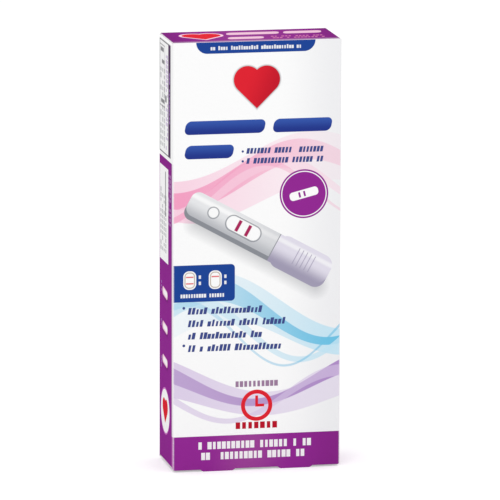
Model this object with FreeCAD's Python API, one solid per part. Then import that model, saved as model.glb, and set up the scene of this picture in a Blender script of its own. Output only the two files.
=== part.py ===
# Folding carton for one pregnancy test, reverse tuck end, with the sealed pouch and the leaflet it holds.
# Millimetres. Origin on the standing plane under the middle of the carton, +Z up, front panel facing -Y.

import FreeCAD, Part
import math
import os

from FreeCAD import Vector

# Carton, outside sizes between the lids' outer faces
carton_width = 60.0
carton_depth = 25.4
carton_height = 152.0
board = 0.45
crease_radius = 0.7

# Glued side seam
glue_flap_width = 10.0
glue_flap_chamfer = 4.0
seam_setback = 0.5

# Shallow tabs cut out of the bottom crease, which stand in the plane of the front panel
foot_drop = 0.6
foot_width = 12.4
foot_spacing = 27.8
foot_slope = 1.0
foot_clearance = 0.3

# Dust flaps
dust_length = 19.0
dust_gap = 0.1
dust_front_setback = 1.6
dust_back_setback = 1.0
dust_shoulder = 3.5
dust_taper_angle = 14.0
dust_corner_radius = 4.0

# Tuck lids
lid_side_inset = 0.4
hinge_gap = 0.08
tuck_length = 13.5
tuck_gap = 0.2
tuck_side_inset = 1.2
tuck_taper = 1.2
tuck_corner_radius = 7.0
tuck_crease_radius = 0.4

# Sealed foil pouch with the test inside, standing on the bottom dust flaps
pouch_side_room = 2.2
pouch_head_room = 17.0
pouch_film = 0.3
pouch_corner_radius = 2.5
pouch_side_seal = 5.0
pouch_end_seal = 9.0
pouch_swell = 2.9
pouch_swell_slope = 8.0
pouch_swell_radius = 9.0
pouch_tear_notch = 1.6
pouch_tear_height = 12.0
pouch_gap = 0.3
standing_gap = 0.1

# Folded leaflet, standing between the pouch and the bottom tuck flap
leaflet_side_room = 2.8
leaflet_head_room = 2.5
leaflet_layers = 4
leaflet_paper = 0.2
leaflet_pitch = 0.6
leaflet_fold_radius = 0.22
leaflet_gap = 0.2

# Places that follow from the sizes above
half_width = carton_width / 2
half_depth = carton_depth / 2
base_z = foot_drop
top_z = base_z + carton_height
middle_z = (base_z + top_z) / 2
hinge_y = half_depth - board / 2
hinge_z = top_z - board / 2
dust_top_z = top_z - board - dust_gap
dust_middle_z = dust_top_z - board / 2
bend_radius = crease_radius - board / 2
lid_half_width = half_width - lid_side_inset
tuck_outer_radius = hinge_y + half_depth - board - tuck_gap
tuck_inner_radius = tuck_outer_radius - board
floor_z = base_z + 2 * board + dust_gap
standing_z = floor_z + standing_gap
room_height = dust_top_z - board - standing_z
room_half_width = half_width - 2 * board
leaflet_back_y = tuck_inner_radius * math.cos(tuck_length / tuck_outer_radius) - hinge_y - leaflet_gap
leaflet_front_y = leaflet_back_y - (leaflet_layers - 1) * leaflet_pitch - leaflet_paper
pouch_y = leaflet_front_y - pouch_gap - pouch_swell
pouch_half_width = room_half_width - pouch_side_room
pouch_height = room_height - pouch_head_room


def turned(vector):
    """The vector a quarter turn to the left."""
    return Vector(-vector.y, vector.x, 0)


def folded_strip(corners, radius, thickness):
    """Face in the XY plane of a strip whose middle line follows the corners and bends round each of them."""
    lines = [(b - a).normalize() for a, b in zip(corners, corners[1:])]
    stations = [[(corners[0], turned(lines[0]))]]
    for corner, before, after in zip(corners[1:-1], lines, lines[1:]):
        turn = before.getAngle(after)
        reach = radius * math.tan(turn / 2)
        inward = (after - before).normalize()
        centre = corner + inward * (radius / math.cos(turn / 2))
        stations[-1].append((corner - before * reach, turned(before)))
        stations.append([
            (corner - before * reach, turned(before)),
            (centre - inward * radius, turned((before + after).normalize())),
            (corner + after * reach, turned(after)),
        ])
        stations.append([(corner + after * reach, turned(after))])
    stations[-1].append((corners[-1], turned(lines[-1])))

    def side(offset):
        edges = []
        for span in stations:
            points = [point + normal * offset for point, normal in span]
            edges.append(Part.makeLine(*points) if len(points) == 2 else Part.Arc(*points).toShape())
        return edges

    left, right = side(thickness / 2), side(-thickness / 2)
    caps = [
        Part.makeLine(left[0].firstVertex().Point, right[0].firstVertex().Point),
        Part.makeLine(left[-1].lastVertex().Point, right[-1].lastVertex().Point),
    ]
    return Part.Face(Part.Wire(Part.__sortEdges__(left + right + caps)))


def rounded_outline(corners, radii):
    """Closed wire in the XY plane through the corners, each with its own radius, where 0 is sharp."""
    edges = []
    count = len(corners)
    ends = []
    for i, corner in enumerate(corners):
        before = (corners[i - 1] - corner).normalize()
        after = (corners[(i + 1) % count] - corner).normalize()
        half = before.getAngle(after) / 2
        reach = radii[i] / math.tan(half)
        start, stop = corner + before * reach, corner + after * reach
        if radii[i] > 0:
            middle_line = (before + after).normalize()
            middle = corner + middle_line * (radii[i] / math.sin(half) - radii[i])
            edges.append(Part.Arc(start, middle, stop).toShape())
        ends.append((start, stop))
    for i in range(count):
        edges.append(Part.makeLine(ends[i][1], ends[(i + 1) % count][0]))
    return Part.Wire(Part.__sortEdges__(edges))


def block(x_low, x_high, y_low, y_high, z_low, z_high):
    """Box between two corners."""
    return Part.makeBox(x_high - x_low, y_high - y_low, z_high - z_low, Vector(x_low, y_low, z_low))


def mirrored_x(shape):
    """The shape on the other side of the YZ plane."""
    return shape.mirror(Vector(0, 0, 0), Vector(1, 0, 0))


def at_the_bottom(shape):
    """A shape of the top end, turned half round to the bottom end, where the back becomes the front."""
    turned_over = shape.copy()
    turned_over.rotate(Vector(0, 0, middle_z), Vector(1, 0, 0), 180)
    return turned_over


def upright(shape):
    """A shape drawn in the XY plane with its height along Z, stood up so that drawing Y becomes Z."""
    stood = shape.copy()
    stood.rotate(Vector(0, 0, 0), Vector(1, 0, 0), 90)
    return stood


def panel_tube():
    """The four panels and the glue flap, as one strip of board folded round the vertical creases."""
    middle_x = half_width - board / 2
    middle_y = half_depth - board / 2
    flap_x = middle_x - board
    back_middle = Vector(0, middle_y, base_z)
    panels = folded_strip(
        [
            Vector(middle_x, half_depth - seam_setback, base_z),
            Vector(middle_x, -middle_y, base_z),
            Vector(-middle_x, -middle_y, base_z),
            Vector(-middle_x, middle_y, base_z),
            back_middle,
        ],
        bend_radius,
        board,
    )
    glue_flap = folded_strip(
        [
            back_middle,
            Vector(flap_x, middle_y, base_z),
            Vector(flap_x, middle_y - glue_flap_width, base_z),
        ],
        bend_radius,
        board,
    )
    rise = Vector(0, 0, carton_height)
    return panels.extrude(rise).fuse(glue_flap.extrude(rise).cut(glue_flap_ends())).removeSplitter()


def glue_flap_ends():
    """What the slanted ends of the glue flap leave out, clear of the dust flaps."""
    inner_x = half_width - board
    seam_y = half_depth - board - bend_radius
    lean = glue_flap_width + board
    low = Part.makePolygon([
        Vector(inner_x, seam_y, base_z),
        Vector(inner_x, seam_y - lean, base_z),
        Vector(inner_x, seam_y - lean, floor_z + glue_flap_chamfer + board),
        Vector(inner_x, seam_y, floor_z + board),
        Vector(inner_x, seam_y, base_z),
    ])
    below = Part.Face(low).extrude(Vector(-2 * board, 0, 0))
    above = below.mirror(Vector(0, 0, middle_z), Vector(0, 0, 1))
    return below.fuse(above)


def dust_flap():
    """The left dust flap of the top end, with the bend that joins it to the side panel."""
    middle_x = -half_width + board / 2
    tip_x = -half_width + dust_length
    profile = folded_strip(
        [
            Vector(middle_x, dust_middle_z - crease_radius, 0),
            Vector(middle_x, dust_middle_z, 0),
            Vector(tip_x, dust_middle_z, 0),
        ],
        bend_radius,
        board,
    )
    bent = upright(profile).extrude(Vector(0, carton_depth, 0))
    bent.translate(Vector(0, -half_depth, 0))
    front_y = -half_depth + dust_front_setback
    back_y = half_depth - dust_back_setback
    taper = (dust_length - dust_shoulder) * math.tan(math.radians(dust_taper_angle))
    outline = rounded_outline(
        [
            Vector(-half_width, front_y, 0),
            Vector(tip_x, front_y, 0),
            Vector(tip_x, back_y - taper, 0),
            Vector(-half_width + dust_shoulder, back_y, 0),
            Vector(-half_width, back_y, 0),
        ],
        [0, dust_corner_radius, dust_corner_radius, 0, 0],
    )
    plan = Part.Face(outline).extrude(Vector(0, 0, top_z))
    return bent.common(plan)


def end_cut():
    """What the tube loses at its top end: the panels' edges at the lid, and room for the dust flaps."""
    over_sides = block(
        -carton_width, carton_width, -half_depth + board, half_depth - board, dust_top_z, top_z + board
    )
    over_hinge = block(-carton_width, carton_width, 0, carton_depth, hinge_z, top_z + board)
    at_flap = block(
        -carton_width,
        -half_width + crease_radius,
        -half_depth + dust_front_setback,
        half_depth - dust_back_setback,
        dust_middle_z - bend_radius,
        top_z,
    )
    return over_sides.fuse([over_hinge, at_flap, mirrored_x(at_flap)])


def hinge_round():
    """Rounded upper edge of the back panel, which the lid turns about. It ends where the creases begin."""
    reach = half_width - crease_radius
    return Part.makeCylinder(board / 2, 2 * reach, Vector(-reach, hinge_y, hinge_z), Vector(1, 0, 0))


def foot_tab(centre_x):
    """One tab under the front panel, in line with it, with slanted ends."""
    high_z = base_z + board / 2
    half_top = foot_width / 2
    half_foot = half_top - foot_slope
    outline = Part.makePolygon([
        Vector(centre_x - half_top, -half_depth, high_z),
        Vector(centre_x - half_top, -half_depth, base_z),
        Vector(centre_x - half_foot, -half_depth, 0),
        Vector(centre_x + half_foot, -half_depth, 0),
        Vector(centre_x + half_top, -half_depth, base_z),
        Vector(centre_x + half_top, -half_depth, high_z),
        Vector(centre_x - half_top, -half_depth, high_z),
    ])
    return Part.Face(outline).extrude(Vector(0, board, 0))


def foot_notch(centre_x):
    """Where the bottom lid is cut away at a tab, so that the lid clears it when it hangs open."""
    reach = foot_drop + board / 2 + foot_clearance
    half = foot_width / 2 + foot_clearance
    hinge_front = -hinge_y
    return block(centre_x - half, centre_x + half, hinge_front - reach, hinge_front + reach, -board, floor_z)


def carton_body():
    """The folded board: panels, glue flap, four dust flaps and the two tabs at the bottom crease."""
    tube = panel_tube()
    flap = dust_flap()
    cut_top = end_cut()
    cut_bottom = at_the_bottom(cut_top)
    flaps = [flap, mirrored_x(flap)]
    added = flaps + [at_the_bottom(f) for f in flaps]
    added += [hinge_round(), at_the_bottom(hinge_round())]
    added += [foot_tab(-foot_spacing / 2), foot_tab(foot_spacing / 2)]
    return tube.cut(cut_top).cut(cut_bottom).fuse(added).removeSplitter()


def top_lid():
    """The top lid with its tuck flap, which follows the arc that it swings through."""
    half_board = board / 2
    hinge_reach = half_board + hinge_gap
    tuck_angle = tuck_length / tuck_outer_radius

    def on_arc(radius, angle):
        return Vector(0, hinge_y - radius * math.cos(angle), hinge_z - radius * math.sin(angle))

    outer_start = math.asin(-half_board / tuck_outer_radius)
    inner_start = math.asin(half_board / tuck_inner_radius)
    top_corner, under_corner = on_arc(tuck_outer_radius, outer_start), on_arc(tuck_inner_radius, inner_start)
    hinge_under = Vector(0, hinge_y - hinge_reach, hinge_z - half_board)
    hinge_level = Vector(0, hinge_y - hinge_reach, hinge_z)
    rise = math.asin(half_board / hinge_reach)
    hinge_middle, hinge_top = on_arc(hinge_reach, -rise / 2), on_arc(hinge_reach, -rise)
    outer_tip, inner_tip = on_arc(tuck_outer_radius, tuck_angle), on_arc(tuck_inner_radius, tuck_angle)
    edges = [
        Part.makeLine(hinge_top, top_corner),
        Part.Arc(top_corner, on_arc(tuck_outer_radius, tuck_angle / 2), outer_tip).toShape(),
        Part.makeLine(outer_tip, inner_tip),
        Part.Arc(inner_tip, on_arc(tuck_inner_radius, tuck_angle / 2), under_corner).toShape(),
        Part.makeLine(under_corner, hinge_under),
        Part.makeLine(hinge_under, hinge_level),
        Part.Arc(hinge_level, hinge_middle, hinge_top).toShape(),
    ]
    profile = Part.Face(Part.Wire(Part.__sortEdges__(edges)))
    lid = profile.extrude(Vector(2 * lid_half_width, 0, 0))
    lid.translate(Vector(-lid_half_width, 0, 0))
    lid = lid.makeFillet(tuck_crease_radius, [edge_through(lid, top_corner)])
    return lid.cut(tuck_sides())


def edge_through(shape, point):
    """The straight edge along X that passes through the point's Y and Z."""
    found = [
        edge for edge in shape.Edges
        if edge.BoundBox.XLength > carton_width / 2
        and abs(edge.CenterOfMass.y - point.y) < board / 10
        and abs(edge.CenterOfMass.z - point.z) < board / 10
    ]
    return found[0]


def tuck_sides():
    """What the tuck flap's tapered sides and rounded corners leave out of the lid's full width."""
    shoulder_z = top_z - board
    tip_z = hinge_z - tuck_outer_radius * math.sin(tuck_length / tuck_outer_radius)
    shoulder_x = half_width - tuck_side_inset
    tip_x = shoulder_x - tuck_taper
    kept = rounded_outline(
        [
            Vector(-shoulder_x, shoulder_z, 0),
            Vector(-tip_x, tip_z, 0),
            Vector(tip_x, tip_z, 0),
            Vector(shoulder_x, shoulder_z, 0),
        ],
        [0, tuck_corner_radius, tuck_corner_radius, 0],
    )
    depth = Vector(0, carton_depth, 0)
    window = upright(Part.Face(kept)).extrude(depth)
    around = block(-half_width, half_width, 0, carton_depth, tip_z - board, shoulder_z)
    left_out = around.cut(window)
    left_out.translate(Vector(0, -half_depth - hinge_gap, 0))
    return left_out


def bottom_lid():
    """The bottom lid, hinged on the front panel and notched at the two tabs."""
    lid = at_the_bottom(top_lid())
    for centre_x in (-foot_spacing / 2, foot_spacing / 2):
        lid = lid.cut(foot_notch(centre_x))
    return lid


def pouch_section(inset_side, inset_end, y):
    """Rounded rectangle of the pouch's swell, stood up at one depth."""
    half = pouch_half_width - inset_side
    low, high = inset_end, pouch_height - inset_end
    wire = rounded_outline(
        [Vector(-half, low, 0), Vector(half, low, 0), Vector(half, high, 0), Vector(-half, high, 0)],
        [pouch_swell_radius] * 4,
    )
    stood = upright(wire)
    stood.translate(Vector(0, y, 0))
    return stood


def foil_pouch():
    """The sealed pouch: flat film at its four seals, swelling over the test that it holds."""
    half = pouch_half_width
    outline = rounded_outline(
        [
            Vector(-half, 0, 0),
            Vector(half, 0, 0),
            Vector(half, pouch_height, 0),
            Vector(-half, pouch_height, 0),
        ],
        [pouch_corner_radius] * 4,
    )
    film = upright(Part.Face(outline)).extrude(Vector(0, pouch_film, 0))
    film.translate(Vector(0, -pouch_film / 2, 0))
    notch_z = pouch_height - pouch_tear_height
    for side in (-1, 1):
        notch = Part.makePolygon([
            Vector(side * half, -pouch_film, notch_z - pouch_tear_notch / 2),
            Vector(side * (half - pouch_tear_notch), -pouch_film, notch_z),
            Vector(side * half, -pouch_film, notch_z + pouch_tear_notch / 2),
            Vector(side * half, -pouch_film, notch_z - pouch_tear_notch / 2),
        ])
        film = film.cut(Part.Face(notch).extrude(Vector(0, 2 * pouch_film, 0)))
    steps = [(0.0, 0.0), (0.45, 0.62), (0.8, 0.93), (1.0, 1.0)]
    swell = Part.makeLoft(
        [
            pouch_section(
                pouch_side_seal + pouch_swell_slope * across,
                pouch_end_seal + pouch_swell_slope * across,
                pouch_swell * rise,
            )
            for across, rise in steps
        ],
        True,
    )
    pouch = film.fuse([swell, swell.mirror(Vector(0, 0, 0), Vector(0, 1, 0))])
    pouch.translate(Vector(0, pouch_y, standing_z))
    return pouch


def folded_leaflet():
    """The leaflet: one sheet folded to and fro, standing on its end."""
    edge_x = room_half_width - leaflet_side_room - leaflet_paper / 2
    first_y = leaflet_front_y + leaflet_paper / 2
    side = 1
    corners = [Vector(-side * edge_x, first_y, standing_z)]
    for layer in range(leaflet_layers - 1):
        corners.append(Vector(side * edge_x, first_y + layer * leaflet_pitch, standing_z))
        corners.append(Vector(side * edge_x, first_y + (layer + 1) * leaflet_pitch, standing_z))
        side = -side
    corners.append(Vector(side * (edge_x - leaflet_pitch), corners[-1].y, standing_z))
    sheet = folded_strip(corners, leaflet_fold_radius, leaflet_paper)
    return sheet.extrude(Vector(0, 0, room_height - leaflet_head_room))


parts = {
    "carton_body": carton_body(),
    "top_lid": top_lid(),
    "bottom_lid": bottom_lid(),
    "foil_pouch": foil_pouch(),
    "folded_leaflet": folded_leaflet(),
}
os.makedirs("parts", exist_ok=True)
for name, shape in parts.items():
    shape.exportStep(f"parts/{name}.step")
    box = shape.BoundBox
    print(f"{name}: {len(shape.Solids)} solid, valid {shape.isValid()}, {shape.Volume:.1f} mm3, "
          f"x {box.XMin:.2f} to {box.XMax:.2f}, y {box.YMin:.2f} to {box.YMax:.2f}, "
          f"z {box.ZMin:.2f} to {box.ZMax:.2f}")
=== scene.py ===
import functools
import math
import bpy
import numpy as np
from mathutils import Matrix, Vector


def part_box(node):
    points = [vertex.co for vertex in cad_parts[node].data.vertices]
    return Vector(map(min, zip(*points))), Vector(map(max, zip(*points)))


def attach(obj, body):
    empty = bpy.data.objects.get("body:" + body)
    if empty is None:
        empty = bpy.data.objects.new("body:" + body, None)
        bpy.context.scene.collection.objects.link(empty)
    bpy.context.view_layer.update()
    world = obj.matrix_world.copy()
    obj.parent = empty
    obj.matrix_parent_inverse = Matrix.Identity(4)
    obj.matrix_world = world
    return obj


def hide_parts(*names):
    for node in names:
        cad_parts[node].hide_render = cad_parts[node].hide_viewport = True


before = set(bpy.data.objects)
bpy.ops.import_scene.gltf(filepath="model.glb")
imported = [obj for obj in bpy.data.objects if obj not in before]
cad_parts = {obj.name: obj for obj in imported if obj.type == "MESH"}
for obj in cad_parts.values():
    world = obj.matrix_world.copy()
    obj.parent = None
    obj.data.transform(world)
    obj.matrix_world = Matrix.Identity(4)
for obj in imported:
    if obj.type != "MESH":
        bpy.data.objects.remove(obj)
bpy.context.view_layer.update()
print("frame loaded")

mm = 0.001

# camera: long lens, a little to the left of the front panel and above it
cameraSetup = {
    "azimuth": -11.651,
    "elevation": 10.710,
    "roll": 0.153,
    "target": (0.00009, 0.0, 0.07628),
    "distance": 2.2294,
    "lens": 456.03,
    "sensor": 36.0,
    "clip": (0.05, 20.0),
}


def makeCamera(setup):
    # unit vectors back, right and up from the two angles, then turned by the roll
    az, el, roll = (math.radians(setup[k]) for k in ("azimuth", "elevation", "roll"))
    back = Vector((math.sin(az) * math.cos(el), -math.cos(az) * math.cos(el), math.sin(el)))
    right = Vector((math.cos(az), math.sin(az), 0.0))
    up = back.cross(right)
    rolledRight = right * math.cos(roll) + up * math.sin(roll)
    rolledUp = up * math.cos(roll) - right * math.sin(roll)
    data = bpy.data.cameras.new("photoCamera")
    data.sensor_width = setup["sensor"]
    data.lens = setup["lens"]
    data.clip_start, data.clip_end = setup["clip"]
    cam = bpy.data.objects.new("photoCamera", data)
    place = Matrix((rolledRight, rolledUp, back)).transposed().to_4x4()
    place.translation = Vector(setup["target"]) + back * setup["distance"]
    cam.matrix_world = place
    bpy.context.scene.collection.objects.link(cam)
    bpy.context.scene.camera = cam


makeCamera(cameraSetup)
print("camera placed")


# a Field is one output socket, and arithmetic on it adds Math nodes
class Field:
    def __init__(self, net, socket):
        self.net, self.socket = net, socket

    def __add__(self, other):
        return self.net.math("ADD", self, other)

    def __radd__(self, other):
        return self.net.math("ADD", other, self)

    def __sub__(self, other):
        return self.net.math("SUBTRACT", self, other)

    def __rsub__(self, other):
        return self.net.math("SUBTRACT", other, self)

    def __mul__(self, other):
        return self.net.math("MULTIPLY", self, other)

    def __rmul__(self, other):
        return self.net.math("MULTIPLY", other, self)

    def __truediv__(self, other):
        return self.net.math("DIVIDE", self, other)

    def __pow__(self, other):
        return self.net.math("POWER", self, other)

    def __neg__(self):
        return self.net.math("MULTIPLY", self, -1.0)

    def __abs__(self):
        return self.net.math("ABSOLUTE", self)


class Net:
    # the node tree of a material or of the world, emptied first
    def __init__(self, owner):
        owner.use_nodes = True
        self.owner, self.tree = owner, owner.node_tree
        self.tree.nodes.clear()

    def put(self, socket, value):
        if isinstance(value, Field):
            self.tree.links.new(value.socket, socket)
        elif isinstance(value, (tuple, list)) and len(socket.default_value) == 4:
            socket.default_value = (*value[:3], 1.0)
        else:
            socket.default_value = value

    def node(self, kind, settings=None, sockets=None, out=0):
        made = self.tree.nodes.new(kind)
        for key, value in (settings or {}).items():
            setattr(made, key, value)
        for key, value in (sockets or {}).items():
            self.put(made.inputs[key], value)
        if isinstance(out, tuple):
            return [Field(self, made.outputs[name]) for name in out]
        return Field(self, made.outputs[out]) if made.outputs else None

    def math(self, operation, *values, clamp=False):
        settings = {"operation": operation, "use_clamp": True} if clamp else {"operation": operation}
        return self.node("ShaderNodeMath", settings, dict(enumerate(values)))

    def principled(self, sockets):
        shader = self.node("ShaderNodeBsdfPrincipled", {}, sockets)
        self.node("ShaderNodeOutputMaterial", {}, {"Surface": shader})
        return self.owner

    def objectMm(self):
        # Object coordinates in millimetres, as x, y and z
        where = self.node("ShaderNodeTexCoord", out="Object")
        scaled = self.node("ShaderNodeVectorMath", {"operation": "SCALE"}, {"Vector": where, "Scale": 1000.0})
        return scaled, self.node("ShaderNodeSeparateXYZ", {}, {"Vector": scaled}, out=("X", "Y", "Z"))

    def layer(self, below, ink, cover):
        # ink laid over what is below, where cover is 1
        return self.node("ShaderNodeMix", {"data_type": "RGBA"}, {0: cover, 6: below, 7: ink}, out=2)

    def noise(self, where, scale, detail, roughness):
        sockets = {"Vector": where, "Scale": scale, "Detail": detail, "Roughness": roughness}
        return self.node("ShaderNodeTexNoise", {}, sockets)

    def bump(self, height, strength, distance):
        sockets = {"Strength": strength, "Distance": distance, "Height": height}
        return self.node("ShaderNodeBump", {}, sockets, out="Normal")

    def ramp(self, value, low, high, toLow=0.0, toHigh=1.0):
        # straight rise from toLow to toHigh between low and high, flat outside
        sockets = {0: value, 1: low, 2: high, 3: toLow, 4: toHigh}
        return self.node("ShaderNodeMapRange", {"clamp": True}, sockets)

    def smooth(self, value, low, high):
        # rise from 0 to 1 with soft ends
        sockets = {0: value, 1: low, 2: high}
        return self.node("ShaderNodeMapRange", {"interpolation_type": "SMOOTHSTEP"}, sockets)


def newMaterial(name):
    return Net(bpy.data.materials.new(name))


def ink(r, g, b):
    # screen colour from 0 to 255, made linear
    def line(c):
        c /= 255.0
        return c / 12.92 if c <= 0.04045 else ((c + 0.055) / 1.055) ** 2.4
    return (line(r), line(g), line(b))


def least(a, b):
    return a.net.math("MINIMUM", a, b)


def most(a, b):
    return a.net.math("MAXIMUM", a, b)


def root(a):
    return a.net.math("SQRT", a)


def sine(a):
    return a.net.math("SINE", a)


def length(a, b):
    return root(a * a + b * b)


def nearest(distances):
    return functools.reduce(least, distances)


def inside(distance, soft=0.08):
    # 1 within an outline and 0 beyond it, with a soft edge of that width
    return distance.net.math("MULTIPLY_ADD", distance, -1.0 / soft, 0.5, clamp=True)


# distances from an outline in the plane, negative inside it
def disc(x, z, cx, cz, r):
    return length(x - cx, z - cz) - r


def roundedSkin(pastA, pastB, r):
    # distance outside a rounded corner, from how far a point is past the start of the round each way
    return length(most(pastA, 0.0), most(pastB, 0.0)) + least(most(pastA, pastB), 0.0) - r


def bar(x, z, cx, cz, halfX, halfZ, r):
    # box with rounded corners
    return roundedSkin(abs(x - cx) - (halfX - r), abs(z - cz) - (halfZ - r), r)


def heart(x, z, cx, tipZ, size):
    # a square on its corner, with a disc on the middle of each upper edge
    px, pz = abs(x - cx) / size, (z - tipZ) / size
    square = (px + abs(pz - 0.5) - 0.5) * 0.7071
    return least(length(px - 0.25, pz - 0.75) - 0.3536, square) * size


def turnedAbout(x, z, cx, cz, degrees):
    # along and across a line through a point
    c, s = math.cos(math.radians(degrees)), math.sin(math.radians(degrees))
    return (x - cx) * c + (z - cz) * s, (z - cz) * c - (x - cx) * s


def box(x, z, cx, cz, halfX, halfZ):
    # box with sharp corners
    return most(abs(x - cx) - halfX, abs(z - cz) - halfZ)


# plain blocks in place of words: the steps of their random draws, and their half widths as shares of a cell
wordBlocks = {
    "cellStep": 1.7,
    "rowStep": 31.3,
    "widthStep": 7.0,
    "halfWidths": (0.27, 0.17),
}


def wordRows(across, down, block, row, word, seed):
    # equal cells along each row, some of them left blank as gaps between words, and blocks of uneven width in
    # them, some lower than the rest
    # block is left, right and top, row is count, pitch and height, and word is cell width, raggedness of the
    # right end, share of gaps, how much lower the low blocks are, and the lean of each block
    net = across.net
    left, right, top = block
    rows, pitch, tall = row
    cellWide, ragged, gaps, lower, lean = word

    def chance(where):
        return net.node("ShaderNodeTexWhiteNoise", {"noise_dimensions": "1D"}, {"W": where}, out="Value")

    if rows == 1:
        drop = (top - pitch / 2) - down
    else:
        place = (top - down) / pitch
        number = net.math("FLOOR", place)
        drop = (net.math("FRACT", place) - 0.5) * pitch
    upright = across + drop * lean if lean else across
    along = (upright - left) / cellWide
    cell = net.math("FLOOR", along)
    draw = cell * wordBlocks["cellStep"]
    if rows > 1:
        draw = draw + number * wordBlocks["rowStep"]
    luck = chance(draw + seed)
    if lower:
        shape = most(net.math("GREATER_THAN", luck, 0.5) * (tall * lower) - drop, drop) - tall / 2
    else:
        shape = abs(drop) - tall / 2
    narrow, spread = wordBlocks["halfWidths"]
    halfCell = net.math("FRACT", luck * wordBlocks["widthStep"]) * spread + narrow
    shape = most(shape, (abs(net.math("FRACT", along) - 0.5) - halfCell) * cellWide)
    # cells count from 0 to the last one of their row, and rows from 0 to the last row
    last = math.floor((right - left) / cellWide) - 1
    kept = net.math("GREATER_THAN", luck, gaps) * net.math("COMPARE", cell, last / 2, last / 2 + 0.25)
    if rows > 1:
        kept = kept * net.math("COMPARE", number, (rows - 1) / 2, (rows - 1) / 2 + 0.25)
    if ragged:
        kept = kept * net.math("LESS_THAN", cell, last + 1 - chance(number + seed) * (ragged / cellWide))
    return inside(shape) * kept


# inks, board, film and paper, as they look on screen
inks = {
    "white": ink(253, 253, 253),
    # grey of the painted shade on the front and back panels
    "paintedShade": ink(240, 240, 242),
    "purple": ink(147, 43, 147),
    "purpleLight": ink(167, 82, 156),
    "lidPurple": ink(136, 34, 135),
    "purpleDark": ink(118, 33, 116),
    "purpleBrown": ink(88, 62, 96),
    # pink of the side's circle, and of the painted highlight on the crease over the band
    "circleAndCreaseHighlightPink": ink(206, 122, 198),
    "royal": ink(33, 70, 150),
    "title": ink(38, 56, 138),
    "titleLight": ink(56, 88, 172),
    "navy": ink(66, 78, 138),
    "ink": ink(70, 68, 78),
    "red": ink(224, 38, 52),
    "redDark": ink(186, 24, 44),
    "pink": ink(244, 150, 190),
    "pinkPale": ink(250, 208, 226),
    "sky": ink(112, 196, 230),
    "skyPale": ink(196, 230, 245),
    "lilac": ink(172, 134, 198),
    "lilacPale": ink(216, 198, 230),
    "grey": ink(120, 122, 130),
    "shell": ink(232, 233, 235),
    "shellLow": ink(186, 188, 193),
    "shellSide": ink(140, 143, 150),
    "cap": ink(226, 222, 235),
    "capLow": ink(162, 156, 180),
    "line": ink(172, 40, 92),
    "tan": ink(196, 184, 172),
    "rawBoard": ink(250, 245, 248),
    "rawFibre": ink(236, 230, 234),
    "film": ink(222, 224, 229),
    "filmLow": ink(198, 201, 208),
    "paper": ink(244, 243, 238),
    "paperLow": ink(232, 230, 223),
    "paperInk": ink(88, 92, 110),
}


def stamp(colour, name, distance, cover=1.0, soft=0.08):
    # one ink inside an outline
    shown = inside(distance, soft)
    if cover != 1.0:
        shown = shown * cover
    return distance.net.layer(colour, inks[name], shown)


def layRows(net, colour, across, down, table):
    # each line of the table: ink, cover, block (left, right, top), row (count, pitch, height),
    # word (cell width, raggedness, gaps, lower, lean) and seed
    for name, cover, block, row, word, seed in table:
        words = wordRows(across, down, block, row, word, seed)
        colour = net.layer(colour, inks[name], words * cover)
    return colour


# ribbons across the front panel
# each line: ink, height, swing, wavelength, phase, half width, width swing, cover left, cover right
ribbonStrands = [
    ("pinkPale", 104.0, 7.5, 96.0, 0.1, 7.0, 2.6, 0.85, 0.20),
    ("pink", 105.4, 8.6, 88.0, 0.4, 2.7, 1.5, 0.85, 0.30),
    ("pinkPale", 100.6, 9.6, 80.0, 1.0, 1.9, 1.0, 0.75, 0.45),
    ("pink", 99.4, 10.4, 74.0, 1.4, 0.9, 0.5, 0.55, 0.30),
    ("skyPale", 53.6, 9.0, 92.0, 2.5, 7.0, 2.4, 0.20, 0.90),
    ("sky", 55.2, 10.0, 84.0, 2.8, 3.2, 1.8, 0.30, 1.00),
    ("skyPale", 50.0, 11.0, 76.0, 3.4, 1.9, 0.9, 0.45, 0.80),
    ("sky", 48.6, 11.6, 70.0, 3.8, 0.8, 0.4, 0.30, 0.65),
    ("lilacPale", 30.0, 6.4, 98.0, 4.5, 6.4, 2.2, 0.80, 0.45),
    ("lilac", 31.4, 7.2, 88.0, 4.8, 2.9, 1.6, 0.65, 0.95),
    ("lilacPale", 26.2, 8.4, 80.0, 5.5, 1.7, 0.8, 0.65, 0.60),
]
ribbonLook = {
    "soft": 0.25,
    "fade": (-26.0, 26.0),
    "widthTurn": 0.7,
    "widthPhase": 1.3,
}


def ribbons(net, x, z, colour):
    # each ribbon is a wave across the panel: its centre line and its half width are sines of x, and its ink
    # fades along x
    for name, height, swing, wavelength, phase, half, halfSwing, left, right in ribbonStrands:
        turn = x * (2 * math.pi / wavelength) + phase
        centre = sine(turn) * swing + height
        wide = sine(turn * ribbonLook["widthTurn"] + ribbonLook["widthPhase"]) * halfSwing + half
        fade = net.ramp(x, *ribbonLook["fade"], left, right)
        colour = net.layer(colour, inks[name], inside(abs(z - centre) - wide, ribbonLook["soft"]) * fade)
    return colour


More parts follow.
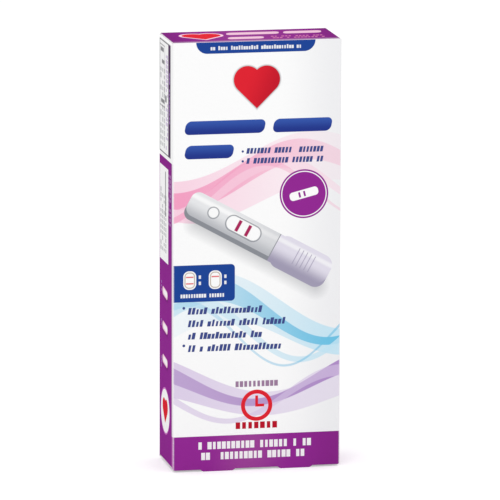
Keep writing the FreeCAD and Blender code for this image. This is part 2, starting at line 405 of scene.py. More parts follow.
# picture of a plain stick: place is its middle and its turn, and the rest is measured along it towards
# its cap and across it, as middle along, middle across, half length, half height and corner
stick = {
    "place": (0.8, 83.2, -29.0),
    "body": (-4.0, 0.0, 24.5, 4.5, 3.0),
    "bodySide": (-4.0, -1.6, 24.5, 4.5, 3.0),
    "bodyLight": (-4.6, 0.8),
    "bodyGlint": (2.4, 1.4, 0.2, 0.85),
    "bodyFade": (-14.0, 6.0, 0.35),
    "cap": (17.5, 0.0, 11.0, 5.2, 3.8),
    "capSide": (17.5, -1.7, 11.0, 5.2, 3.8),
    "capLight": (-5.2, 0.6),
    "capGlint": (2.7, 1.3, 0.2, 0.6),
    "capStart": 6.5,
    "capLine": (6.4, 0.16, 0.9),
    "grip": (18.2, 0.0, 4.0, 3.1),
    "gripLines": (15.0, 0.8, 0.16, 0.8),
    "shadow": (2.2, -6.0, 27.0, 2.8, 2.6),
    "shadowCover": 0.42,
    "shadowSoft": 5.0,
    "window": (-6.6, 0.1, 6.8, 2.8, 2.7),
    "windowRim": (0.22, 0.8),
    "windowInset": 0.35,
    "strips": (-6.65, 1.95, 0.1, 0.6, 2.1, 0.2),
    "well": (-18.8, 0.1, 2.0),
    "wellRim": (0.22, 0.75),
    "wellInset": (0.3, 0.9),
}


def glint(net, colour, t, setup):
    # a white streak that fades to both sides of its middle
    middle, start, end, cover = setup
    return net.layer(colour, inks["white"], net.smooth(abs(t - middle), start, end) * cover)


def testStick(net, x, z, colour):
    s, t = turnedAbout(x, z, *stick["place"])
    onCap = inside(stick["capStart"] - s)
    # its shadow on the ground, its side, and its face in two plastics
    colour = stamp(colour, "grey", bar(s, t, *stick["shadow"]), stick["shadowCover"], stick["shadowSoft"])
    sides = least(bar(s, t, *stick["bodySide"]), bar(s, t, *stick["capSide"]))
    colour = net.layer(colour, net.layer(inks["shellSide"], inks["capLow"], onCap), inside(sides))
    body = net.layer(inks["shellLow"], inks["shell"], net.smooth(t, *stick["bodyLight"]))
    body = glint(net, body, t, stick["bodyGlint"])
    start, end, cover = stick["bodyFade"]
    body = net.layer(body, inks["shellLow"], net.smooth(s, start, end) * cover)
    cap = net.layer(inks["capLow"], inks["cap"], net.smooth(t, *stick["capLight"]))
    cap = glint(net, cap, t, stick["capGlint"])
    start, pitch, half, cover = stick["gripLines"]
    lines = inside(net.math("PINGPONG", s - start, pitch) - half) * inside(box(s, t, *stick["grip"]))
    cap = net.layer(cap, inks["capLow"], lines * cover)
    face = net.layer(body, cap, onCap)
    place, half, cover = stick["capLine"]
    face = stamp(face, "shellSide", abs(s - place) - half, cover)
    # window with two strips, and a round well
    window = bar(s, t, *stick["window"])
    half, cover = stick["windowRim"]
    face = stamp(face, "shellSide", abs(window) - half, cover)
    face = stamp(face, "white", window + stick["windowInset"])
    middle, apart, across, halfWide, halfTall, soft = stick["strips"]
    face = stamp(face, "line", box(abs(s - middle), t, apart, across, halfWide, halfTall), soft=soft)
    well = disc(s, t, *stick["well"])
    half, cover = stick["wellRim"]
    face = stamp(face, "shellSide", abs(well) - half, cover)
    inset, cover = stick["wellInset"]
    face = stamp(face, "white", well + inset, cover)
    return net.layer(colour, face, inside(least(bar(s, t, *stick["body"]), bar(s, t, *stick["cap"]))))


# front panel, millimetres from the middle of the panel and from the standing plane
front = {
    "paintedShade": (6.0, 30.0),
    "heart": (-0.2, 128.9, 13.6),
    "heartDark": (0.4, -60.0, -46.0, 0.8),
    "heartRim": (0.35, 0.6, 0.6),
    "titleBars": ((-36.0, 122.6, 14.2), (-8.4, 122.6, 10.4), (-39.9, 114.0, 8.6)),
    "titleTall": (2.4, 1.9),
    "titleLean": 0.2,
    "titleLight": (-2.0, 2.6),
    "bullets": ((-5.2, 113.8, 0.42), (-5.2, 110.3, 0.42), (-26.1, 58.8, 0.5), (-26.1, 45.4, 0.5)),
    # beside the title, under the legend (every other row short), in the legend, and above and below the clock
    "rows": [
        ("navy", 1.0, (-3.9, 25.3, 115.7), (2, 3.55, 2.0), (1.25, 2.0, 0.14, 0.0, 0.2), 5.0),
        ("navy", 1.0, (-24.7, 3.6, 62.1), (2, 8.9, 2.4), (1.4, 5.0, 0.14, 0.24, 0.2), 11.0),
        ("navy", 1.0, (-24.7, 12.8, 57.65), (2, 8.9, 2.4), (1.4, 3.0, 0.16, 0.24, 0.2), 14.0),
        ("white", 0.9, (-27.4, -10.6, 63.9), (1, 1.7, 1.3), (0.93, 0.0, 0.12, 0.0, 0.0), 3.0),
        ("purpleDark", 0.8, (-7.8, 7.8, 32.1), (1, 2.4, 2.1), (1.55, 0.0, 0.1, 0.0, 0.0), 3.0),
        ("redDark", 1.0, (-7.8, 7.8, 17.4), (1, 2.8, 2.4), (2.2, 0.0, 0.0, 0.0, 0.0), 9.0),
    ],
    "badge": (16.7, 98.1, 8.7),
    "badgeRing": (0.75, 0.17),
    "badgeTurn": 14.0,
    "badgeStrip": (0.0, 0.0, 5.2, 1.5, 1.2),
    "badgeLines": (-0.7, 0.9, 0.35, 0.95),
    "legend": (-20.95, 67.45, 13.05, 6.55, 1.4),
    "windows": ((-24.0, (1.15, -1.15)), (-14.9, (1.15,))),
    "windowHeight": 68.6,
    "windowSize": (2.3, 3.3, 2.0),
    "windowRing": (0.6, 0.2),
    "windowLine": (1.35, 0.26, 0.8),
    "windowMarks": (3.6, 1.1, 0.4, 0.6, 0.85),
    "clock": (0.0, 23.1, 4.9),
    "clockRing": 0.72,
    "clockHands": ((0.0, 24.6, 0.5, 2.0), (1.1, 23.1, 1.6, 0.5)),
    "bandTop": 12.7,
    "bandHighlight": (-3.0, 16.0, 0.55),
    "bandShade": (10.0, 30.0, 0.45),
    "bandRows": [
        ("white", 0.9, (-21.1, 20.2, 11.2), (1, 3.9, 2.6), (1.7, 0.0, 0.13, 0.0, 0.0), 6.0),
        ("white", 0.9, (-20.0, 19.0, 7.4), (1, 3.9, 2.6), (1.7, 0.0, 0.13, 0.0, 0.0), 17.0),
    ],
    # middle, half width, depth and reach of its curved ends, and a row measured from the panel's top edge
    "tab": (-0.6, 21.2, 4.0, 4.0),
    "tabRows": [("white", 0.85, (-16.8, 15.6, -1.1), (1, 2.0, 1.4), (0.9, 0.0, 0.15, 0.2, 0.0), 8.0)],
}


def roundBadge(x, z, colour):
    # disc with a thin ring, and a small strip with two lines on it
    disk = disc(x, z, *front["badge"])
    inset, half = front["badgeRing"]
    colour = stamp(colour, "purple", disk)
    colour = stamp(colour, "white", abs(disk + inset) - half)
    cx, cz, r = front["badge"]
    s, t = turnedAbout(x, z, cx, cz, front["badgeTurn"])
    colour = stamp(colour, "white", bar(s, t, *front["badgeStrip"]))
    middle, apart, halfWide, halfTall = front["badgeLines"]
    return stamp(colour, "purple", box(abs(s - middle), t, apart, 0.0, halfWide, halfTall))


def legendPanel(x, z, colour):
    # blue panel at the left edge, with two windows and two marks beside each
    colour = stamp(colour, "royal", bar(x, z, *front["legend"]))
    cz = front["windowHeight"]
    inset, halfRing = front["windowRing"]
    halfWide, halfTall, lineCover = front["windowLine"]
    marksOut, marksApart, markWide, markTall, markCover = front["windowMarks"]
    for cx, lines in front["windows"]:
        window = bar(x, z, cx, cz, *front["windowSize"])
        colour = stamp(colour, "white", window)
        colour = stamp(colour, "tan", abs(window + inset) - halfRing)
        for rise in lines:
            colour = stamp(colour, "red", box(x, z, cx, cz + rise, halfWide, halfTall), lineCover)
        marks = box(x, abs(z - cz), cx + marksOut, marksApart, markWide, markTall)
        colour = stamp(colour, "white", marks, markCover)
    return colour


def footBand(net, x, z, colour):
    # painted highlight along the band's middle, and painted shade towards its right end
    middle, reach, cover = front["bandHighlight"]
    band = net.layer(inks["purple"], inks["purpleLight"], net.smooth(abs(x - middle), reach, 0.0) * cover)
    start, end, cover = front["bandShade"]
    band = net.layer(band, inks["purpleDark"], net.smooth(x, start, end) * cover)
    band = layRows(net, band, x, z, front["bandRows"])
    return net.layer(colour, band, inside(z - front["bandTop"]))


def frontPrint(net, x, z, topZ):
    # painted shade: the white turns grey towards the panel's right edge
    colour = net.layer(inks["white"], inks["paintedShade"], net.smooth(x, *front["paintedShade"]))
    colour = ribbons(net, x, z, colour)
    colour = testStick(net, x, z, colour)
    colour = roundBadge(x, z, colour)
    colour = legendPanel(x, z, colour)
    # heart at the top with a grey rim, darker towards its right
    shape = heart(x, z, *front["heart"])
    slope, start, end, cover = front["heartDark"]
    red = net.layer(inks["red"], inks["redDark"], net.smooth(x - z * slope, start, end) * cover)
    rim, soft, cover = front["heartRim"]
    colour = stamp(colour, "grey", shape - rim, cover, soft)
    colour = net.layer(colour, red, inside(shape))
    # slanted bars in place of the title, lighter above
    lean = x - z * front["titleLean"]
    low, high = front["titleLight"]
    for cx, cz, half in front["titleBars"]:
        title = net.layer(inks["title"], inks["titleLight"], net.smooth(z, cz + low, cz + high))
        colour = net.layer(colour, title, inside(bar(lean, z, cx, cz, half, *front["titleTall"])))
    colour = stamp(colour, "navy", nearest(disc(x, z, *bullet) for bullet in front["bullets"]))
    # clock face with two hands
    dial = abs(disc(x, z, *front["clock"])) - front["clockRing"]
    hands = nearest(box(x, z, *hand) for hand in front["clockHands"])
    colour = stamp(colour, "red", least(dial, hands))
    colour = layRows(net, colour, x, z, front["rows"])
    colour = footBand(net, x, z, colour)
    # tab hanging from the top edge, with a quarter of an ellipse at each end
    middle, half, deepest, curve = front["tab"]
    deep = topZ - z
    ends = abs(x - middle) - (root(1.0 - (deep / deepest) ** 2.0) * curve + (half - curve))
    tab = layRows(net, inks["royal"], x, z - topZ, front["tabRows"])
    return net.layer(colour, tab, inside(most(ends, deep - deepest)))


# left panel, measured across from the front crease to the back one, and up from the standing plane
# its rows read up the panel, so their blocks are low end, high end and back edge
side = {
    "dark": (30.0, 120.0, 0.25),
    "upperStart": 109.8,
    "upperRows": [
        ("grey", 0.45, (112.9, 145.9, 23.6), (3, 3.1, 2.1), (2.2, 9.0, 0.2, 0.0, 0.0), 21.0),
        ("lilac", 0.7, (112.9, 148.9, 13.4), (2, 2.2, 1.4), (1.7, 8.0, 0.2, 0.0, 0.0), 23.0),
    ],
    "headings": ((19.8, 147.6, 2.9, 0.75), (18.0, 143.4, 2.4, 0.7), (19.0, 129.4, 2.9, 0.7),
                 (13.0, 131.0, 1.4, 1.2)),
    "headingLook": (0.75, 0.4),
    "facts": (19.75, 138.4, 4.55, 10.8),
    "factsLine": (0.22, 0.6, 0.3),
    "frame": (14.45, 131.15, 9.85, 19.75),
    "frameLine": (0.22, 0.9, 0.3),
    "frameBack": (24.3, 0.5),
    "strip": (6.65, 131.15, 2.0, 19.75),
    "stripSoft": 0.4,
    "stripRows": [("lilac", 0.6, (123.0, 142.4, 8.1), (1, 3.0, 2.2), (1.4, 0.0, 0.12, 0.0, 0.0), 25.0)],
    "lower": (16.4, 89.7, 7.7, 16.9),
    "lowerRows": [("grey", 0.5, (75.8, 104.6, 23.6), (4, 3.0, 1.9), (1.9, 12.0, 0.2, 0.0, 0.0), 31.0)],
    "lowerHeading": (13.6, 97.1, 0.8, 8.0),
    "lowerLook": (0.7, 0.4),
    "edgeRows": [("lilacPale", 0.4, (86.8, 106.6, 9.0), (2, 2.6, 1.7), (1.7, 0.0, 0.2, 0.0, 0.0), 37.0)],
    "pictures": (61.6, 49.2, 37.2),
    "pictureMiddle": 14.6,
    "pictureTurn": 6.0,
    "pictureShadow": (-0.6, -0.7, 5.0, 1.5, 1.4),
    "pictureShadowLook": (0.8, 1.4),
    "pictureBody": (0.0, 0.0, 4.7, 1.5, 1.4),
    "pictureFace": (-0.6, 0.1, 3.4, 0.9, 0.8),
    "pictureWord": ((-3.4, 4.2, 22.2), (1, 1.9, 1.3), (1.4, 0.0, 0.2, 0.0, 0.0)),
    "circle": (14.2, 19.3, 8.4),
    "circleRim": 0.6,
    "circleHeart": (14.2, 14.9, 8.0),
    "creaseReach": (2.9, 0.9),
    "creaseCover": 0.85,
}


def creaseWrapAndHighlight(net, colour, u, z):
    # the front's white comes a little way round the crease, in part print and in part a painted highlight, and
    # over the band a painted pink highlight lies along it
    near = net.layer(inks["white"], inks["circleAndCreaseHighlightPink"], inside(z - front["bandTop"]))
    return net.layer(colour, near, net.smooth(u, *side["creaseReach"]) * side["creaseCover"])


def sidePurple(net, z):
    start, end, cover = side["dark"]
    return net.layer(inks["purple"], inks["purpleDark"], net.smooth(z, start, end) * cover)


def upperField(net, u, z):
    # rows and headings in a frame, with a dark strip along its front
    field = layRows(net, inks["white"], z, u, side["upperRows"])
    cover, soft = side["headingLook"]
    field = stamp(field, "ink", nearest(box(u, z, *heading) for heading in side["headings"]), cover, soft)
    half, cover, soft = side["factsLine"]
    field = stamp(field, "ink", abs(box(u, z, *side["facts"])) - half, cover, soft)
    outer = box(u, z, *side["frame"])
    backEdge, halfBack = side["frameBack"]
    half, cover, soft = side["frameLine"]
    line = least(abs(outer) - half, most(abs(u - backEdge) - halfBack, outer))
    field = stamp(field, "ink", line, cover, soft)
    field = stamp(field, "purpleBrown", box(u, z, *side["strip"]), soft=side["stripSoft"])
    return layRows(net, field, z, u, side["stripRows"])


def leftPrint(net, u, z):
    colour = net.layer(sidePurple(net, z), upperField(net, u, z), inside(side["upperStart"] - z))
    lower = layRows(net, inks["white"], z, u, side["lowerRows"])
    cover, soft = side["lowerLook"]
    lower = stamp(lower, "ink", box(u, z, *side["lowerHeading"]), cover, soft)
    colour = net.layer(colour, lower, inside(box(u, z, *side["lower"])))
    colour = layRows(net, colour, z, u, side["edgeRows"])
    # three small pictures of a stick, with a word beside each
    for i, height in enumerate(side["pictures"]):
        s, t = turnedAbout(u, z, side["pictureMiddle"], height, side["pictureTurn"])
        colour = stamp(colour, "purpleDark", bar(s, t, *side["pictureShadow"]), *side["pictureShadowLook"])
        colour = stamp(colour, "pinkPale", bar(s, t, *side["pictureBody"]), soft=0.3)
        colour = stamp(colour, "white", bar(s, t, *side["pictureFace"]), soft=0.5)
        colour = layRows(net, colour, z - height, u, [("lilac", 0.7, *side["pictureWord"], 40.0 + i)])
    cx, cz, r = side["circle"]
    colour = stamp(colour, "circleAndCreaseHighlightPink", disc(u, z, cx, cz, r))
    colour = stamp(colour, "white", disc(u, z, cx, cz, r - side["circleRim"]))
    colour = stamp(colour, "red", heart(u, z, *side["circleHeart"]))
    return creaseWrapAndHighlight(net, colour, u, z)


# right panel, which is out of sight: plain, with rows that read down it
rightRows = [("lilacPale", 0.7, (-144.0, -30.0, 20.4), (4, 3.9, 2.0), (1.6, 30.0, 0.16, 0.0, 0.0), 61.0)]


def rightPrint(net, u, z):
    return creaseWrapAndHighlight(net, layRows(net, sidePurple(net, z), -z, u, rightRows), u, z)


# back panel, which is out of sight: a heading and sections of plain rows over the same band
back = {
    "paintedShade": (12.0, 30.0, 0.6),
    "title": (0.0, 143.6, 26.0, 3.0, 1.2),
    "titleRows": [("white", 0.9, (-23.0, 23.0, 145.2), (1, 3.2, 2.2), (1.6, 0.0, 0.14, 0.0, 0.0), 65.0)],
    "rowsTop": 136.4,
    "sections": 4,
    "rowsEach": 7,
    "rowPitch": 3.9,
    "rowTall": 1.9,
    "rowsAcross": (-25.0, 25.0),
    "rowWord": (1.25, 14.0, 0.15, 0.2, 0.0),
    "rowSeed": 67.0,
    "rowCover": 0.75,
    "heading": (-14.0, 11.0, 1.1, 1.0),
}


def backPrint(net, x, z):
    across = -x
    # painted shade, darker towards both side edges of the panel
    start, end, cover = back["paintedShade"]
    colour = net.layer(inks["white"], inks["paintedShade"], net.smooth(abs(x), start, end) * cover)
    title = layRows(net, inks["royal"], across, z, back["titleRows"])
    colour = net.layer(colour, title, inside(bar(across, z, *back["title"])))
    # each section is one tall step down the panel, with a short purple bar in place of its first row
    top, pitch = back["rowsTop"], back["rowPitch"]
    step = pitch * back["rowsEach"]
    within = net.math("FRACT", (top - z) / step) * step
    row = (back["sections"] * back["rowsEach"], pitch, back["rowTall"])
    rows = wordRows(across, z, (*back["rowsAcross"], top), row, back["rowWord"], back["rowSeed"])
    colour = net.layer(colour, inks["ink"], rows * inside(pitch - within) * back["rowCover"])
    shown = inside(top - back["sections"] * step - z) * inside(z - top)
    middle, half, halfTall, corner = back["heading"]
    heading = inside(bar(across, within, middle, pitch / 2, half, halfTall, corner))
    colour = net.layer(colour, inks["purple"], heading * shown)
    return stamp(colour, "purple", z - front["bandTop"])


# top lid, millimetres from its middle: the heart, and the title's bars and the rows beside them again,
# smaller
lid = {
    "glow": (-2.0, 26.0, 0.35),
    "darkEnds": (20.0, 30.0, 0.6),
    "heart": (-17.0, -5.6, 11.4),
    "heartRim": 1.0,
    "bars": ((0.8, 5.2, 9.4, 2.6, 1.8), (18.6, 5.2, 6.8, 2.6, 1.8), (-1.6, -4.6, 6.4, 2.4, 1.8)),
    "barLean": 0.2,
    "barCover": 0.85,
    "rows": [("pink", 0.55, (6.6, 25.4, -1.2), (2, 3.4, 1.9), (1.25, 2.0, 0.14, 0.0, 0.2), 45.0)],
    "bottomDark": 0.2,
}


def lidPrint(net, x, y):
    middle, reach, cover = lid["glow"]
    colour = net.layer(inks["lidPurple"], inks["purpleLight"], net.smooth(abs(x - middle), reach, 0.0) * cover)
    start, end, cover = lid["darkEnds"]
    colour = net.layer(colour, inks["purpleDark"], net.smooth(abs(x), start, end) * cover)
    shape = heart(x, y, *lid["heart"])
    colour = stamp(colour, "pinkPale", shape - lid["heartRim"])
    colour = stamp(colour, "red", shape)
    lean = x - y * lid["barLean"]
    colour = stamp(colour, "pinkPale", nearest(bar(lean, y, *each) for each in lid["bars"]), lid["barCover"])
    return layRows(net, colour, x, y, lid["rows"])


# coated board: thickness and creases follow the part
board = {
    "thick": 0.45,
    "creaseRadius": 0.7,
    "printedSkin": 0.05,
    "tuckGap": 0.2,
    "dustGap": 0.1,
    "bleed": 2.0,
    "inkOnTuck": 3.2,
    "printedRough": 0.42,
    "rawRough": 0.85,
    "coat": 0.03,
    "coatRough": 0.3,
    "fibreScale": 3.0,
    "grainScale": 9.0,
    "cloudScale": 0.06,
    # the creases' lighter line is worn ink and a painted highlight
    "creaseWearAndHighlight": (0.15, 0.60),
    "cornerWearAndHighlight": (0.25, 0.2),
    "tuckWearAndHighlight": (0.2, 0.25, 0.2, 0.6),
    "tuckWearAndHighlightReach": 3.5,
    "bump": (0.35, 0.00004),
    "skinSoft": 0.04,
    "panelSoft": 0.12,
}


def finishBoard(net, where, colour, printed, crease):
    # fibres in the raw board, a fine grain in the coat, and broken ink along the creases, lightened there both
    # by wear and by a painted highlight
    fibre = net.noise(where, board["fibreScale"], 4.0, 0.6)
    grain = net.noise(where, board["grainScale"], 3.0, 0.55)
    cloud = net.noise(where, board["cloudScale"], 3.0, 0.5)
    raw = net.layer(inks["rawBoard"], inks["rawFibre"], net.ramp(fibre, 0.35, 0.75))
    wornAndHighlight = crease * net.ramp(fibre, 0.30, 0.70, *board["creaseWearAndHighlight"])
    base = net.layer(raw, net.layer(colour, inks["white"], wornAndHighlight), printed)
    coated = board["printedRough"] + (cloud - 0.5) * 0.12 + (grain - 0.5) * 0.06
    rough = board["rawRough"] + (coated - board["rawRough"]) * printed
    height = grain * 0.35 + fibre * (1.6 - printed * 1.3) + wornAndHighlight * 0.8
    return net.principled({
        "Base Color": base,
        "Roughness": rough,
        "Normal": net.bump(height, *board["bump"]),
        "Specular IOR Level": 0.0,
        "Coat Weight": printed * board["coat"],
        "Coat Roughness": board["coatRough"],
    })


def cartonBoard():
    net = newMaterial("printedBoard")
    where, (x, y, z) = net.objectMm()
    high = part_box("carton_body")[1]
    halfX, halfY, topZ = (value / mm for value in high)
    r, thick, skinDeep = board["creaseRadius"], board["thick"], board["printedSkin"]
    skinSoft, panelSoft = board["skinSoft"], board["panelSoft"]
    pastX, pastY = abs(x) - (halfX - r), abs(y) - (halfY - r)
    skin = roundedSkin(pastX, pastY, r)
    # which panel a point is on: the creases are split along their diagonals
    toFront = inside(pastX - pastY, panelSoft) * inside(y, 0.1)
    toBack = inside(pastX - pastY, panelSoft) * inside(-y, 0.1)
    u = y + halfY
    colour = net.layer(rightPrint(net, u, z), leftPrint(net, u, z), inside(x, 0.1))
    colour = net.layer(colour, backPrint(net, x, z), toBack)
    colour = net.layer(colour, frontPrint(net, x, z, topZ), toFront)
    # the dust flaps' outer faces and bends lie between two levels, and the sides' ink runs a little way
    # onto them
    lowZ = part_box("bottom_lid")[0][2] / mm
    middleZ = (topZ + lowZ) / 2
    halfZ = (topZ - lowZ) / 2 - thick - board["dustGap"]
    flapSkin = roundedSkin(pastX, abs(z - middleZ) - (halfZ - r), r)
    onFlap = inside(abs(flapSkin) - skinDeep, skinSoft) * inside(abs(y) - (halfY - thick))
    colour = net.layer(colour, inks["white"], onFlap * inside(pastX + r + board["bleed"], 0.1))
    printed = most(inside(-skinDeep - skin, skinSoft), onFlap)
    # the crease arcs, where the ink is worn and carries a painted highlight
    wide, soft = board["cornerWearAndHighlight"]
    return finishBoard(net, where, colour, printed, inside(wide - least(pastX, pastY), soft))


def lidBoard(name, node, atTop):
    net = newMaterial(name)
    where, (x, y, z) = net.objectMm()
    low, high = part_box(node)
    thick, skinDeep, skinSoft = board["thick"], board["printedSkin"], board["skinSoft"]
    edge = high[2] / mm if atTop else low[2] / mm
    deep = edge - z if atTop else z - edge
    # the tuck's outer face lies on an arc about the hinge
    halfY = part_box("carton_body")[1][1] / mm
    hingeY = (halfY - thick / 2) * (1 if atTop else -1)
    hingeZ = edge + (-thick / 2 if atTop else thick / 2)
    reach = length(y - hingeY, z - hingeZ)
    tuckOuter = 2 * halfY - 1.5 * thick - board["tuckGap"]
    onLid = inside(deep - skinDeep, skinSoft)
    onTuck = inside(tuckOuter - skinDeep - reach, skinSoft)
    if atTop:
        colour = lidPrint(net, x, y)
    else:
        colour = net.layer(inks["purple"], inks["purpleDark"], lid["bottomDark"])
    colour = net.layer(colour, inks["white"], inside(board["inkOnTuck"] - deep, 0.2))
    # a light line along the tuck's fold: worn ink and a painted highlight
    middle, half, soft, cover = board["tuckWearAndHighlight"]
    crease = inside(abs(deep - middle) - half, soft) * inside(2 * halfY - board["tuckWearAndHighlightReach"] - reach, 1.0)
    return finishBoard(net, where, colour, most(onLid, onTuck), crease * cover)


boards = {
    "carton_body": cartonBoard(),
    "top_lid": lidBoard("topLidBoard", "top_lid", True),
    "bottom_lid": lidBoard("bottomLidBoard", "bottom_lid", False),
}
for nodeName, material in boards.items():
    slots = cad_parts[nodeName].data.materials
    slots.clear()
    slots.append(material)
print("board finished")


def addMesh(name, points, faces, material, body, smooth=True):
    # points are in millimetres in the part's frame
    data = bpy.data.meshes.new(name)
    data.from_pydata((points * mm).tolist(), [], faces.tolist())
    data.validate()
    data.polygons.foreach_set("use_smooth", np.full(len(data.polygons), smooth))
    data.materials.append(material)
    made = bpy.data.objects.new(name, data)
    bpy.context.scene.collection.objects.link(made)
    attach(made, body)
    return made


def boxMm(node):
    # low and high corner of a node's box, in millimetres
    return [np.array(corner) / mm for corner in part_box(node)]


# sealed pouch, in millimetres
pouch = {
    "grid": (150, 330),
    "film": 0.3,
    "sideSeal": 5.0,
    "sideRise": 10.0,
    "endSeal": 9.0,
    "endRise": 14.0,
    "swell": 2.75,
    "swellLow": 0.62,
    "testAcross": (-2.0, 9.5, 3.0),
    "testUp": (66.0, 47.0, 5.0),
    "fan": 0.13,
    "crease": 0.22,
    "ripple": 0.05,
    "notchHeight": 12.0,
    "notchDeep": 1.6,
    "notchTall": 0.8,
    "zigzag": 0.5,
    "zigzagPitch": 1.3,
    "crimp": 0.06,
    "crimpPitch": 0.9,
    "wrinkle": (0.35, 5.0, 0.62),
    "fine": (2.2, 3.0, 0.6),
    "bump": (0.6, 0.0002),
    # rows measured from the pouch's top, and a stripe: middle, half height and half width
    "rows": [("navy", 0.7, (-16.0, 16.0, -24.0), (5, 4.2, 2.2), (1.3, 10.0, 0.16, 0.2, 0.0), 50.0)],
    "stripe": (-20.0, 0.8, 20.0),
}


def smoothStep(value, low, high):
    t = np.clip((value - low) / (high - low), 0.0, 1.0)
    return t * t * (3 - 2 * t)


def makePouch(setup, material):
    # two sheets on one grid: u runs across from -1 to 1, v up from 0 to 1
    # the swell is a product of two smooth steps in from the seals, raised where the test lies and creased by
    # sines that fan out from the corners
    low, high = boxMm("foil_pouch")
    half = (high[0] - low[0]) / 2
    tall = high[2] - low[2]
    middleY = (low[1] + high[1]) / 2
    across, up = setup["grid"]
    u, v = np.meshgrid(np.linspace(-1, 1, across), np.linspace(0, 1, up))
    tooth = np.abs(((u * half / setup["zigzagPitch"]) % 1.0) - 0.5) * 2 * setup["zigzag"]
    z = low[2] + tooth * (1 - v) + v * (tall - tooth)
    fromNotch = np.abs(z - (high[2] - setup["notchHeight"]))
    notch = setup["notchDeep"] * np.clip(1 - fromNotch / setup["notchTall"], 0, 1)
    x = u * half - np.sign(u) * notch * smoothStep(np.abs(u), 0.9, 1.0)
    edgeIn = half - np.abs(u * half)
    endIn = np.minimum(z - low[2], high[2] - z)
    puff = smoothStep(edgeIn, setup["sideSeal"], setup["sideSeal"] + setup["sideRise"])
    puff = puff * smoothStep(endIn, setup["endSeal"], setup["endSeal"] + setup["endRise"])
    # the test inside lifts the film along the middle
    middle, reach, soft = setup["testAcross"]
    test = smoothStep(reach - np.abs(u * half - middle), 0, soft)
    middle, reach, soft = setup["testUp"]
    test = test * smoothStep(reach - np.abs(z - middle), 0, soft)
    lift = setup["swell"] * (setup["swellLow"] + (1 - setup["swellLow"]) * test)
    seal = 1 - smoothStep(np.minimum(edgeIn - setup["sideSeal"], endIn - setup["endSeal"]), -0.4, 0.8)
    ripple = seal * setup["ripple"] * np.sin(z * 0.5 + u * 2.0)
    crimp = np.cos(z * 2 * np.pi / setup["crimpPitch"]) * setup["crimp"]
    crimp = crimp * (1 - smoothStep(endIn, setup["endSeal"] - 1.0, setup["endSeal"]))
    sheets = []
    for way, seed in ((-1, 0.0), (1, 2.1)):
        fan = np.sin((edgeIn * 0.55 - endIn * 0.32) * 0.9 + seed)
        fan = fan + 0.6 * np.sin(z * 0.31 + u * 3.3 + seed) + 0.5 * np.sin(z * 0.83 - u * 9.0 + seed * 2)
        crease = np.abs(np.sin(z * 0.17 + 2.6 * u + seed)) ** 6
        crease = crease - np.abs(np.sin(z * 0.11 - 3.4 * u + seed)) ** 8
        rise = puff * (lift + setup["fan"] * fan - setup["crease"] * crease * (1 - 0.6 * test))
        away = setup["film"] / 2 + np.clip(rise, 0, setup["swell"] - 0.1)
        y = middleY + way * away + ripple + crimp
        sheets.append(np.stack([x, y, z], -1))
    points = np.concatenate([s.reshape(-1, 3) for s in sheets])
    index = np.arange(across * up).reshape(up, across)
    a, b, c, d = index[:-1, :-1], index[:-1, 1:], index[1:, 1:], index[1:, :-1]
    frontFaces = np.stack([a, b, c, d], -1).reshape(-1, 4)
    offset = across * up
    backFaces = np.stack([a, d, c, b], -1).reshape(-1, 4) + offset
    rim = np.concatenate([index[0, :], index[1:, -1], index[-1, -2::-1], index[-2:0:-1, 0]])
    after = np.roll(rim, -1)
    rimFaces = np.stack([rim, rim + offset, after + offset, after], -1)
    return addMesh("pouch_film", points, np.concatenate([frontFaces, backFaces, rimFaces]), material, "carton")


def pouchFilm(setup):
    net = newMaterial("pouchFilm")
    where, (x, _, z) = net.objectMm()
    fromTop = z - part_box("foil_pouch")[1][2] / mm
    wrinkle = net.noise(where, *setup["wrinkle"])
    fine = net.noise(where, *setup["fine"])
    colour = net.layer(inks["film"], inks["filmLow"], net.ramp(wrinkle, 0.35, 0.7))
    colour = layRows(net, colour, x, fromTop, setup["rows"])
    middle, halfTall, halfWide = setup["stripe"]
    stripe = inside(abs(fromTop - middle) - halfTall) * inside(abs(x) - halfWide)
    return net.principled({
        "Base Color": net.layer(colour, inks["purple"], stripe),
        "Roughness": 0.30 + wrinkle * 0.2,
        "Normal": net.bump(wrinkle + fine * 0.15, *setup["bump"]),
        "Metallic": 0.55,
    })


film = makePouch(pouch, pouchFilm(pouch))
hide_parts("foil_pouch")
print("pouch made")

# folded leaflet, in millimetres
leaflet = {
    "layers": 4,
    "paper": 0.16,
    "pitch": 0.6,
    "spring": 0.10,
    "clear": 0.02,
    "grain": (2.5, 4.0, 0.6),
    "bump": (0.3, 0.00003),
    "rows": [("paperInk", 0.75, (-22.0, 22.0, 143.0), (52, 2.1, 1.0), (0.7, 16.0, 0.16, 0.25, 0.0), 70.0)],
    # rules across the sheet: first height, spacing, half thickness, half width and cover
    "rules": (3.0, 18.0, 0.5, 22.0, 0.9),
}


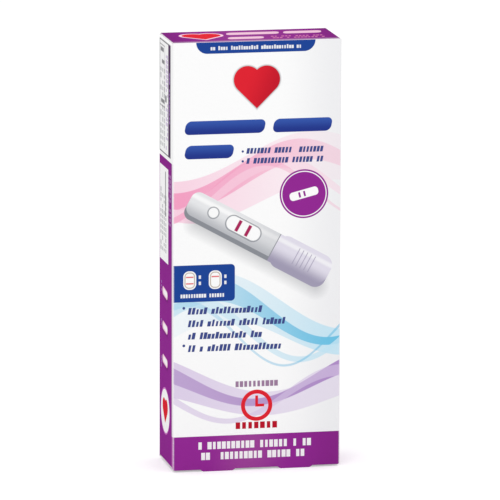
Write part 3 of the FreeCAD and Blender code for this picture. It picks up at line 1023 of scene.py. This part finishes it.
def makeLeaflet(setup, material):
    # the section is a path that runs to and fro with half-round folds, and its two middle layers bow by a
    # cosine
    low, high = boxMm("folded_leaflet")
    halfX = (high[0] - low[0]) / 2
    r = setup["pitch"] / 2
    straight = np.linspace(-1, 1, 40)
    bend = np.linspace(-np.pi / 2, np.pi / 2, 9)[1:-1]
    reach = halfX - r - setup["paper"] / 2
    first = low[1] + setup["paper"] / 2 + setup["clear"]
    xs, ys = [], []
    for layer in range(setup["layers"]):
        way = 1 if layer % 2 == 0 else -1
        bow = setup["spring"] * np.cos(straight * np.pi / 2) * (1 if layer in (1, 2) else 0.0)
        xs.append(straight * reach * way)
        ys.append(first + layer * setup["pitch"] + bow)
        if layer < setup["layers"] - 1:
            xs.append(way * (reach + r * np.cos(bend)))
            ys.append(first + layer * setup["pitch"] + r + r * np.sin(bend))
    path = np.stack([np.concatenate(xs), np.concatenate(ys)], -1)
    tangent = np.gradient(path, axis=0)
    tangent /= np.linalg.norm(tangent, axis=1)[:, None]
    normal = np.stack([-tangent[:, 1], tangent[:, 0]], -1)
    ring = np.concatenate([path - normal * setup["paper"] / 2, (path + normal * setup["paper"] / 2)[::-1]])
    levels = np.linspace(low[2], high[2], 60)
    count = len(ring)
    points = np.concatenate([np.tile(ring, (len(levels), 1)), np.repeat(levels, count)[:, None]], axis=1)
    i = np.arange(count)
    after = (i + 1) % count
    rows = np.arange(len(levels) - 1)[:, None] * count
    faces = np.stack([rows + i, rows + after, rows + count + after, rows + count + i], -1).reshape(-1, 4)
    half = count // 2
    j = np.arange(half - 1)
    bottomCap = np.stack([j, count - 1 - j, count - 2 - j, j + 1], -1)
    topCap = bottomCap[:, ::-1] + (len(levels) - 1) * count
    faces = np.concatenate([faces, bottomCap, topCap])
    return addMesh("leaflet_sheet", points, faces, material, "carton", smooth=False)


def leafletPaper(setup):
    net = newMaterial("leafletPaper")
    where, (x, _, z) = net.objectMm()
    fibre = net.noise(where, *setup["grain"])
    colour = net.layer(inks["paper"], inks["paperLow"], net.ramp(fibre, 0.35, 0.7))
    colour = layRows(net, colour, x, z, setup["rows"])
    start, spacing, half, halfWide, cover = setup["rules"]
    rules = inside(net.math("PINGPONG", z - start, spacing) - half) * inside(abs(x) - halfWide)
    return net.principled({
        "Base Color": net.layer(colour, inks["purple"], rules * cover),
        "Roughness": 0.8 + (fibre - 0.5) * 0.1,
        "Normal": net.bump(fibre, *setup["bump"]),
    })


sheet = makeLeaflet(leaflet, leafletPaper(leaflet))
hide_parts("folded_leaflet")
print("leaflet made")


# floor, world and lamps: each lamp is its place, its width in metres and its watts
studio = {
    "world": 0.872,
    "floor": 2.4,
    "paper": (0.72, 0.72, 0.72),
    "glow": 0.40,
    "key": (-0.55, -0.95, 0.75, 0.55, 2.6),
    "fill": (0.75, -0.70, 0.45, 0.60, 0.8),
    "top": (0.0, 0.05, 0.95, 0.60, 0.7),
    "aim": (0.0, 0.0, 0.075),
}


def makeStudio(setup):
    # white for the camera and for mirrors, plain light for the rest
    world = bpy.data.worlds.new("studioWorld")
    bpy.context.scene.world = world
    net = Net(world)
    rays = net.node("ShaderNodeLightPath", out=("Is Camera Ray", "Is Transmission Ray", "Is Glossy Ray"))
    strength = net.ramp(functools.reduce(most, rays), 0.0, 1.0, setup["world"], 1.0)
    sky = net.node("ShaderNodeBackground", {}, {"Color": (1, 1, 1), "Strength": strength})
    net.node("ShaderNodeOutputWorld", {}, {"Surface": sky})

    size = setup["floor"]
    data = bpy.data.meshes.new("studio_floor")
    corners = [(-size, -size, 0), (size, -size, 0), (size, size, 0), (-size, size, 0)]
    data.from_pydata(corners, [], [(0, 1, 2, 3)])
    floor = bpy.data.objects.new("studio_floor", data)
    bpy.context.scene.collection.objects.link(floor)
    net = newMaterial("studioFloor")
    seen = net.node("ShaderNodeLightPath", out="Is Camera Ray")
    paper = net.node("ShaderNodeBsdfDiffuse", {}, {"Color": setup["paper"]})
    glow = net.node("ShaderNodeEmission", {}, {"Strength": setup["glow"]})
    both = net.node("ShaderNodeAddShader", {}, {0: paper, 1: glow})
    shown = net.node("ShaderNodeMixShader", {}, {0: seen, 1: paper, 2: both})
    net.node("ShaderNodeOutputMaterial", {}, {"Surface": shown})
    data.materials.append(net.owner)

    for name in ("key", "fill", "top"):
        *place, wide, watts = setup[name]
        lamp = bpy.data.lights.new(name + "Lamp", "AREA")
        lamp.shape, lamp.size, lamp.energy = "DISK", wide, watts
        made = bpy.data.objects.new(name + "Lamp", lamp)
        made.location = place
        towards = Vector(setup["aim"]) - Vector(place)
        made.rotation_euler = towards.to_track_quat("-Z", "Y").to_euler()
        bpy.context.scene.collection.objects.link(made)


makeStudio(studio)
bpy.context.scene.view_settings.view_transform = "Standard"
print("studio lit")
